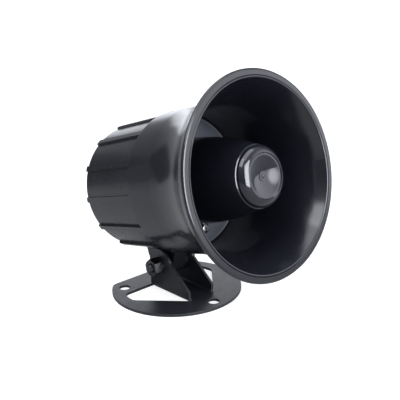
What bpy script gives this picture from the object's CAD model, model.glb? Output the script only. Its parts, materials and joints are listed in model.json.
"""Looks of the horn siren: materials, studio and camera, in metres and in the part's frame."""
import json
import math

import bmesh
import bpy
from mathutils import Matrix, Vector

MM = 0.001
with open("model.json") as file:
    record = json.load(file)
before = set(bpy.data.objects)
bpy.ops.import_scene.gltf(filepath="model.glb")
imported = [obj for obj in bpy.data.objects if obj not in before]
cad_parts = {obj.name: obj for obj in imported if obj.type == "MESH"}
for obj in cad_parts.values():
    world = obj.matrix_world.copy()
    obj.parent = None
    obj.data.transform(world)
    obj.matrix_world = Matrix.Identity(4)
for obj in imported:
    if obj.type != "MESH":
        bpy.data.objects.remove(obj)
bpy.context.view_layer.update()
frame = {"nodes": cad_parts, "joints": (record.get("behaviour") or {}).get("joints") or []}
NODES = frame["nodes"]
JOINTS = {joint["name"]: joint for joint in frame["joints"]}
PIVOT = Vector(JOINTS["horn_tilt"]["pos_m"])
FORWARD = Vector(JOINTS["diaphragm_stroke"]["axis"]).normalized()
UPWARD = FORWARD.cross(Vector((1, 0, 0))).normalized()
# The horn's axis passes AXIS_HEIGHT above the tilt axis. The floor of the bell lies behind FLOOR_PLACE,
# measured forwards from the tilt axis, and within FLOOR_RADIUS of the horn's axis.
AXIS_HEIGHT = 49.4 * MM
FLOOR_PLACE = 31.3 * MM
FLOOR_RADIUS = 39.2 * MM


# ---------------------------------------------------------------- materials

NOISE_LOW, NOISE_HIGH = 0.3, 0.7
BEVEL_SAMPLES = 12


class Shader:
    """A node material under construction, with its Principled shader."""

    def __init__(self, name, roughness=0.5, metallic=0.0):
        self.material = bpy.data.materials.new(name)
        self.material.use_nodes = True
        self.tree = self.material.node_tree
        self.surface = self.tree.nodes["Principled BSDF"]
        self.surface.inputs["Roughness"].default_value = roughness
        self.surface.inputs["Metallic"].default_value = metallic
        self.place = self.tree.nodes.new("ShaderNodeTexCoord").outputs["Object"]

    def link(self, source, target):
        self.tree.links.new(source, target)

    def noise(self, scale, detail=3.0, stretch=None):
        """Noise with that many features to the metre."""
        node = self.tree.nodes.new("ShaderNodeTexNoise")
        node.inputs["Scale"].default_value = scale
        node.inputs["Detail"].default_value = detail
        place = self.place
        if stretch is not None:
            mapping = self.tree.nodes.new("ShaderNodeMapping")
            mapping.inputs["Scale"].default_value = stretch
            self.link(place, mapping.inputs["Vector"])
            place = mapping.outputs["Vector"]
        self.link(place, node.inputs["Vector"])
        return node.outputs["Fac"]

    def ramp(self, factor, stops):
        """Colours or greys at positions from 0 to 1."""
        node = self.tree.nodes.new("ShaderNodeValToRGB")
        elements = node.color_ramp.elements
        while len(elements) < len(stops):
            elements.new(0.5)
        for element, (position, colour) in zip(elements, stops):
            element.position = position
            rgb = colour if isinstance(colour, tuple) else (colour, colour, colour)
            element.color = (*rgb, 1.0)
        self.link(factor, node.inputs["Fac"])
        return node.outputs["Color"]

    def clouds(self, factor, dark, light):
        """A colour between dark and light by a noise's middle range."""
        return self.ramp(factor, [(NOISE_LOW, dark), (NOISE_HIGH, light)])

    def spread(self, factor, low, high):
        """Moves a noise's middle range to low..high."""
        node = self.tree.nodes.new("ShaderNodeMapRange")
        node.inputs["From Min"].default_value = NOISE_LOW
        node.inputs["From Max"].default_value = NOISE_HIGH
        node.inputs["To Min"].default_value = low
        node.inputs["To Max"].default_value = high
        self.link(factor, node.inputs["Value"])
        return node.outputs["Result"]

    def relief(self, height, depth, edge=0.0):
        """Bump of that depth in metres, over edges rounded to a radius in metres."""
        bump = self.tree.nodes.new("ShaderNodeBump")
        bump.inputs["Distance"].default_value = depth
        bump.inputs["Strength"].default_value = 1.0
        self.link(height, bump.inputs["Height"])
        if edge > 0:
            bevel = self.tree.nodes.new("ShaderNodeBevel")
            bevel.samples = BEVEL_SAMPLES
            bevel.inputs["Radius"].default_value = edge
            self.link(bevel.outputs["Normal"], bump.inputs["Normal"])
        self.link(bump.outputs["Normal"], self.surface.inputs["Normal"])

    def vector_math(self, operation, first, second=None):
        """A Vector Math node on a socket and, where the operation needs it, a fixed vector."""
        node = self.tree.nodes.new("ShaderNodeVectorMath")
        node.operation = operation
        self.link(first, node.inputs[0])
        if second is not None:
            node.inputs[1].default_value = second
        return node

    def below(self, source, limit):
        """1 where the value is under the limit, else 0."""
        node = self.tree.nodes.new("ShaderNodeMath")
        node.operation = "LESS_THAN"
        node.inputs[1].default_value = limit
        self.link(source, node.inputs[0])
        return node.outputs["Value"]

    def choose(self, kind, input_name, factor, other):
        """Replaces what feeds a shader input with other, where factor is 1."""
        target = self.surface.inputs[input_name]
        usual = target.links[0].from_socket
        node = self.tree.nodes.new("ShaderNodeMix")
        node.data_type = kind
        shown = {socket.name: socket for socket in node.inputs if socket.enabled}
        result = [socket for socket in node.outputs if socket.enabled][0]
        self.link(factor, shown["Factor"])
        self.link(usual, shown["A"])
        self.link(other, shown["B"])
        self.link(result, target)

    def colour(self, source):
        self.link(source, self.surface.inputs["Base Color"])

    def roughness(self, source):
        self.link(source, self.surface.inputs["Roughness"])


def plastic_shader(name, dark, light, gloss, grain, edge=0.0):
    """Moulded plastic: faint colour clouds, uneven gloss, a fine skin. gloss is (low, high) roughness."""
    shader = Shader(name)
    shader.colour(shader.clouds(shader.noise(45), dark, light))
    shader.roughness(shader.spread(shader.noise(160, 4), *gloss))
    shader.relief(shader.noise(1400, 2), grain, edge)
    return shader


def plastic(name, dark, light, gloss, grain, edge=0.0):
    """The material of a plastic_shader."""
    return plastic_shader(name, dark, light, gloss, grain, edge).material


def bell_plastic(name, dark, light, gloss, grain, floor_dark, floor_light, floor_gloss):
    """Moulded plastic with a paler, satin floor at the bottom of the horn."""
    shader = plastic_shader(name, dark, light, gloss, grain)
    axis_foot = PIVOT + UPWARD * AXIS_HEIGHT
    from_axis = shader.vector_math("SUBTRACT", shader.place, axis_foot).outputs["Vector"]
    forward = shader.vector_math("DOT_PRODUCT", from_axis, FORWARD).outputs["Value"]
    square = shader.vector_math("CROSS_PRODUCT", from_axis, FORWARD).outputs["Vector"]
    radius = shader.vector_math("LENGTH", square).outputs["Value"]
    behind = shader.below(forward, FLOOR_PLACE)
    inside = shader.below(radius, FLOOR_RADIUS)
    on_floor = shader.tree.nodes.new("ShaderNodeMath")
    on_floor.operation = "MULTIPLY"
    shader.link(behind, on_floor.inputs[0])
    shader.link(inside, on_floor.inputs[1])
    floor_colour = shader.clouds(shader.noise(300), floor_dark, floor_light)
    floor_roughness = shader.spread(shader.noise(160, 4), *floor_gloss)
    shader.choose("RGBA", "Base Color", on_floor.outputs["Value"], floor_colour)
    shader.choose("FLOAT", "Roughness", on_floor.outputs["Value"], floor_roughness)
    return shader.material


def metal(name, dark, light, gloss, edge=0.15 * MM, stretch=None, scale=900):
    """Bare or plated metal with rolled or turned streaks."""
    shader = Shader(name, metallic=1.0)
    streaks = shader.noise(scale, 4, stretch)
    shader.colour(shader.clouds(streaks, dark, light))
    shader.roughness(shader.spread(shader.noise(500, 3), *gloss))
    shader.relief(streaks, 0.01 * MM, edge)
    return shader.material


def paint(name, dark, light, gloss, peel):
    """Stoved paint on steel: orange peel, rounded edges."""
    shader = Shader(name)
    shader.colour(shader.clouds(shader.noise(60), dark, light))
    shader.roughness(shader.spread(shader.noise(250, 4), *gloss))
    shader.relief(shader.noise(700, 3), peel, 0.35 * MM)
    shader.surface.inputs["Coat Weight"].default_value = 0.1
    shader.surface.inputs["Coat Roughness"].default_value = 0.25
    return shader.material


def banded(name, base, bands, spacing):
    """Lacquered component with coloured rings along X."""
    shader = Shader(name, roughness=0.35)
    wave = shader.tree.nodes.new("ShaderNodeTexWave")
    wave.bands_direction = "X"
    wave.inputs["Scale"].default_value = spacing
    shader.link(shader.place, wave.inputs["Vector"])
    first, second = bands
    stops = [(0.0, base), (0.55, base), (0.6, first), (0.75, first), (0.8, base), (0.9, second)]
    shader.colour(shader.ramp(wave.outputs["Fac"], stops))
    shader.relief(shader.noise(1500), 0.005 * MM, 0.1 * MM)
    return shader.material


def laminate(name):
    """Green solder mask over copper tracks."""
    shader = Shader(name, roughness=0.3)
    bricks = shader.tree.nodes.new("ShaderNodeTexBrick")
    bricks.inputs["Scale"].default_value = 260
    bricks.inputs["Mortar Size"].default_value = 0.02
    bricks.inputs["Color1"].default_value = (0.015, 0.13, 0.04, 1)
    bricks.inputs["Color2"].default_value = (0.02, 0.17, 0.055, 1)
    bricks.inputs["Mortar"].default_value = (0.05, 0.3, 0.1, 1)
    shader.link(shader.place, bricks.inputs["Vector"])
    shader.colour(bricks.outputs["Color"])
    shader.relief(bricks.outputs["Fac"], 0.02 * MM, 0.1 * MM)
    return shader.material


BLACK, BLACK_CLOUD = (0.0078, 0.0082, 0.0122), (0.0098, 0.0104, 0.0152)
BELL_GLOSS, BELL_GRAIN = (0.15, 0.20), 0.0003 * MM


def grey(value):
    """A neutral colour."""
    return (value, value, value)


MATERIALS = {
    "bell_gloss": bell_plastic("bell_gloss", BLACK, BLACK_CLOUD, BELL_GLOSS, BELL_GRAIN,
                               (0.038, 0.042, 0.060), (0.047, 0.052, 0.073), (0.45, 0.55)),
    "inner_gloss": plastic("inner_gloss", BLACK, BLACK_CLOUD, BELL_GLOSS, BELL_GRAIN),
    "cap_gloss": plastic("cap_gloss", (0.0075, 0.0080, 0.0125), (0.0095, 0.0100, 0.0152),
                         (0.07, 0.10), 0.0002 * MM),
    "housing_gloss": plastic("housing_gloss", (0.0100, 0.0104, 0.0135), (0.0130, 0.0136, 0.0172),
                             (0.24, 0.28), 0.0003 * MM),
    "inner_plastic": plastic("inner_plastic", grey(0.012), grey(0.018), (0.4, 0.5), 0.01 * MM, 0.2 * MM),
    "bracket_paint": paint("bracket_paint", (0.0130, 0.0140, 0.0190), (0.0175, 0.0186, 0.0250),
                           (0.33, 0.43), 0.006 * MM),
    "black_zinc": metal("black_zinc", (0.05, 0.05, 0.052), (0.10, 0.10, 0.105), (0.28, 0.4)),
    "bright_zinc": metal("bright_zinc", (0.45, 0.45, 0.46), grey(0.62), (0.25, 0.38)),
    "screw_zinc": metal("screw_zinc", (0.10, 0.10, 0.105), (0.18, 0.18, 0.19), (0.2, 0.3)),
    "rubber": plastic("rubber", grey(0.012), grey(0.02), (0.6, 0.75), 0.03 * MM, 0.2 * MM),
    "ferrite": plastic("ferrite", (0.03, 0.03, 0.032), (0.05, 0.05, 0.052), (0.55, 0.7),
                       0.04 * MM, 0.2 * MM),
    "phenolic": plastic("phenolic", (0.16, 0.07, 0.025), (0.25, 0.12, 0.045), (0.35, 0.5),
                        0.02 * MM, 0.1 * MM),
    "copper": metal("copper", (0.55, 0.22, 0.1), (0.75, 0.36, 0.18), (0.25, 0.35), stretch=(1, 1, 12)),
    "tinned": metal("tinned", (0.5, 0.5, 0.48), (0.7, 0.69, 0.66), (0.2, 0.35), edge=0.1 * MM),
    "red_sleeve": plastic("red_sleeve", (0.35, 0.012, 0.012), (0.5, 0.02, 0.02), (0.35, 0.45), 0.005 * MM),
    "board": laminate("board"),
    "can_sleeve": plastic("can_sleeve", (0.012, 0.014, 0.03), (0.018, 0.02, 0.045), (0.25, 0.35),
                          0.004 * MM, 0.15 * MM),
    "epoxy": plastic("epoxy", grey(0.012), grey(0.02), (0.45, 0.6), 0.02 * MM, 0.15 * MM),
    "heat_sink": metal("heat_sink", (0.6, 0.6, 0.62), (0.78, 0.78, 0.8), (0.3, 0.4), stretch=(8, 8, 1)),
    "resistor": banded("resistor", (0.42, 0.3, 0.16), [(0.25, 0.06, 0.02), (0.3, 0.2, 0.02)], 300),
    "terminal": plastic("terminal", (0.02, 0.18, 0.05), (0.03, 0.24, 0.07), (0.35, 0.45),
                        0.008 * MM, 0.2 * MM),
}
FINISHES = {
    "bell_gloss": ["horn_bell"],
    "inner_gloss": ["reflector"],
    "cap_gloss": ["reflector_cap"],
    "housing_gloss": ["rear_housing"],
    "inner_plastic": ["throat_horn", "phase_plug"],
    "bracket_paint": ["mounting_bracket"],
    "black_zinc": ["pivot_bolt", "pivot_nut", "pivot_washer", "pivot_lock_washer"],
    "screw_zinc": ["horn_screws"],
    "bright_zinc": ["driver_screws", "board_screws", "yoke", "top_plate"],
    "rubber": ["seal_ring", "cable_grommet", "surround"],
    "ferrite": ["magnet"],
    "phenolic": ["diaphragm", "voice_coil_former", "terminal_strip"],
    "copper": ["voice_coil"],
    "tinned": ["terminal_tags"],
    "red_sleeve": ["driver_leads"],
    "board": ["siren_board"],
    "can_sleeve": ["filter_capacitor", "timing_capacitors"],
    "epoxy": ["siren_chip", "power_transistors", "supply_diode"],
    "heat_sink": ["heat_sinks"],
    "resistor": ["resistors"],
    "terminal": ["supply_terminal"],
}


def finish_with(piece, material_name):
    """The piece's only material."""
    piece.data.materials.clear()
    piece.data.materials.append(MATERIALS[material_name])


for material_name, node_names in FINISHES.items():
    for node_name in node_names:
        finish_with(NODES[node_name], material_name)


# ---------------------------------------------------------------- studio and camera

# How brightly the paper glows, and how bright the room is, where the camera sees them directly.
PAPER_LIFT = 0.75
BACKDROP = 1.15
COOL_WHITE = (0.91, 0.94, 1.0)
LIGHTS_AIM = Vector((0, -0.02, 0.06))
CARD_AIM = Vector((0, -0.02, 0.065))


def heading_from(azimuth, elevation):
    """Unit vector towards an azimuth from the front and an elevation, in degrees."""
    a, e = math.radians(azimuth), math.radians(elevation)
    return Vector((math.sin(a) * math.cos(e), -math.cos(a) * math.cos(e), math.sin(e)))


def studio_sheet():
    """A pale floor that curves up behind the object. It is a little overexposed, as a white sweep is."""
    paper = Shader("studio_paper", roughness=0.85)
    paper.colour(paper.clouds(paper.noise(3), 0.46, 0.5))
    paper.surface.inputs["Specular IOR Level"].default_value = 0.2
    paper.surface.inputs["Emission Color"].default_value = (1, 1, 1, 1)
    seen = paper.tree.nodes.new("ShaderNodeLightPath")
    lift = paper.tree.nodes.new("ShaderNodeMath")
    lift.operation = "MULTIPLY"
    lift.inputs[1].default_value = PAPER_LIFT
    paper.link(seen.outputs["Is Camera Ray"], lift.inputs[0])
    paper.link(lift.outputs["Value"], paper.surface.inputs["Emission Strength"])
    mesh = bmesh.new()
    front, back, radius, top, half_width = -1.5, 0.75, 0.5, 2.4, 2.2
    section = [(front, 0.0)]
    for degrees in range(0, 91, 6):
        a = math.radians(degrees)
        section.append((back + radius * math.sin(a), radius - radius * math.cos(a)))
    section.append((back + radius, top))
    turn = Matrix.Rotation(math.radians(-42), 4, "Z")
    rows = []
    for across in (-half_width, half_width):
        rows.append([mesh.verts.new(turn @ Vector((across, y, z))) for y, z in section])
    for first in range(len(section) - 1):
        left, right = rows
        mesh.faces.new((left[first], right[first], right[first + 1], left[first + 1]))
    data = bpy.data.meshes.new("studio_sheet")
    mesh.to_mesh(data)
    mesh.free()
    for face in data.polygons:
        face.use_smooth = True
    sheet = bpy.data.objects.new("studio_sheet", data)
    bpy.context.scene.collection.objects.link(sheet)
    data.materials.append(paper.material)


def softbox(name, azimuth, elevation, distance, size, power, mirrored_only=False):
    """A rectangular area light that looks at the object from an azimuth and elevation in degrees.

    A mirrored_only light shows in reflections and adds no light to dull surfaces."""
    data = bpy.data.lights.new(name, "AREA")
    data.shape = "RECTANGLE"
    data.size, data.size_y = size
    data.energy = power
    data.color = COOL_WHITE
    light = bpy.data.objects.new(name, data)
    bpy.context.scene.collection.objects.link(light)
    back = heading_from(azimuth, elevation)
    light.location = LIGHTS_AIM + back * distance
    light.rotation_mode = "QUATERNION"
    light.rotation_quaternion = (-back).to_track_quat("-Z", "Y")
    light.visible_camera = False
    light.visible_diffuse = not mirrored_only


def set_camera():
    """The photograph's view: from the front left, a little above."""
    azimuth, elevation, roll = -42.29, 16.67, math.radians(-1.73)
    aim, distance = Vector((0.02249, 0.00069, 0.05225)), 0.39392
    back = heading_from(azimuth, elevation)
    level = Vector((math.cos(math.radians(azimuth)), math.sin(math.radians(azimuth)), 0))
    upright = back.cross(level)
    right = level * math.cos(roll) + upright * math.sin(roll)
    up = upright * math.cos(roll) - level * math.sin(roll)
    data = bpy.data.cameras.new("camera")
    data.sensor_width = 36
    data.lens = 56.19
    data.clip_start = 0.01
    camera = bpy.data.objects.new("camera", data)
    bpy.context.scene.collection.objects.link(camera)
    turn = Matrix((right, up, back)).transposed().to_4x4()
    camera.matrix_world = Matrix.Translation(aim + back * distance) @ turn
    bpy.context.scene.camera = camera


def set_world(dim, lobes):
    """A dim room with soft bright regions, and a white backdrop where the camera looks past the floor.

    A lobe is (azimuth, elevation, inner angle, outer angle, strength)."""
    world = bpy.data.worlds.new("studio")
    world.use_nodes = True
    tree = world.node_tree
    heading = tree.nodes.new("ShaderNodeTexCoord").outputs["Generated"]
    total = None
    for azimuth, elevation, inner, outer, strength in lobes:
        aligned = tree.nodes.new("ShaderNodeVectorMath")
        aligned.operation = "DOT_PRODUCT"
        aligned.inputs[1].default_value = heading_from(azimuth, elevation)
        tree.links.new(heading, aligned.inputs[0])
        fade = tree.nodes.new("ShaderNodeMapRange")
        fade.interpolation_type = "SMOOTHSTEP"
        fade.inputs["From Min"].default_value = math.cos(math.radians(outer))
        fade.inputs["From Max"].default_value = math.cos(math.radians(inner))
        fade.inputs["To Max"].default_value = strength
        tree.links.new(aligned.outputs["Value"], fade.inputs["Value"])
        added = tree.nodes.new("ShaderNodeMath")
        added.operation = "ADD"
        added.inputs[1].default_value = dim
        if total is not None:
            tree.links.new(total, added.inputs[1])
        tree.links.new(fade.outputs["Result"], added.inputs[0])
        total = added.outputs["Value"]
    seen = tree.nodes.new("ShaderNodeLightPath")
    backdrop = tree.nodes.new("ShaderNodeMix")
    backdrop.inputs["B"].default_value = BACKDROP
    tree.links.new(seen.outputs["Is Camera Ray"], backdrop.inputs["Factor"])
    tree.links.new(total, backdrop.inputs["A"])
    background = tree.nodes["Background"]
    background.inputs["Color"].default_value = (*COOL_WHITE, 1)
    tree.links.new(backdrop.outputs["Result"], background.inputs["Strength"])
    bpy.context.scene.world = world


def dark_card(azimuth, elevation, distance, width, height):
    """A black card that only reflections see, which shades the plastic's mirror image of the backdrop."""
    away = heading_from(azimuth, elevation)
    centre = CARD_AIM + away * distance
    across = Vector((0, 0, 1)).cross(away).normalized()
    above = away.cross(across).normalized()
    corner = 0.25 * min(width, height)
    mesh = bmesh.new()
    ring = []
    for side_x, side_y, start in ((1, 1, 0), (-1, 1, 90), (-1, -1, 180), (1, -1, 270)):
        for step in range(0, 91, 15):
            turn = math.radians(start + step)
            x = side_x * (width / 2 - corner) + corner * math.cos(turn)
            y = side_y * (height / 2 - corner) + corner * math.sin(turn)
            ring.append(mesh.verts.new(centre + across * x + above * y))
    mesh.faces.new(ring)
    data = bpy.data.meshes.new("dark_card")
    mesh.to_mesh(data)
    mesh.free()
    card = bpy.data.objects.new("dark_card", data)
    bpy.context.scene.collection.objects.link(card)
    felt = Shader("black_felt", roughness=1.0)
    felt.colour(felt.clouds(felt.noise(40), 0.07, 0.09))
    felt.surface.inputs["Specular IOR Level"].default_value = 0.0
    data.materials.append(felt.material)
    card.visible_camera = False
    card.visible_shadow = False
    card.visible_diffuse = False


studio_sheet()
set_world(0.33, [(44, 6, 14, 46, 2.6), (19, 10, 2, 17, 7.0), (0, 90, 20, 75, 0.8)])
softbox("front_light", -8, 14, 1.0, (0.42, 0.75), 3)
softbox("front_panel", -10, 20, 1.0, (0.58, 1.05), 26, mirrored_only=True)
softbox("back_panel", 138, 12, 0.9, (0.8, 0.28), 1.1, mirrored_only=True)
softbox("key_softbox", -80, 58, 0.9, (0.5, 0.4), 3.6)
softbox("top_softbox", 20, 85, 1.0, (0.8, 0.6), 4.7)
dark_card(197, 6, 0.5, 0.25, 0.24)
set_camera()
bpy.context.scene.view_settings.view_transform = "Standard"
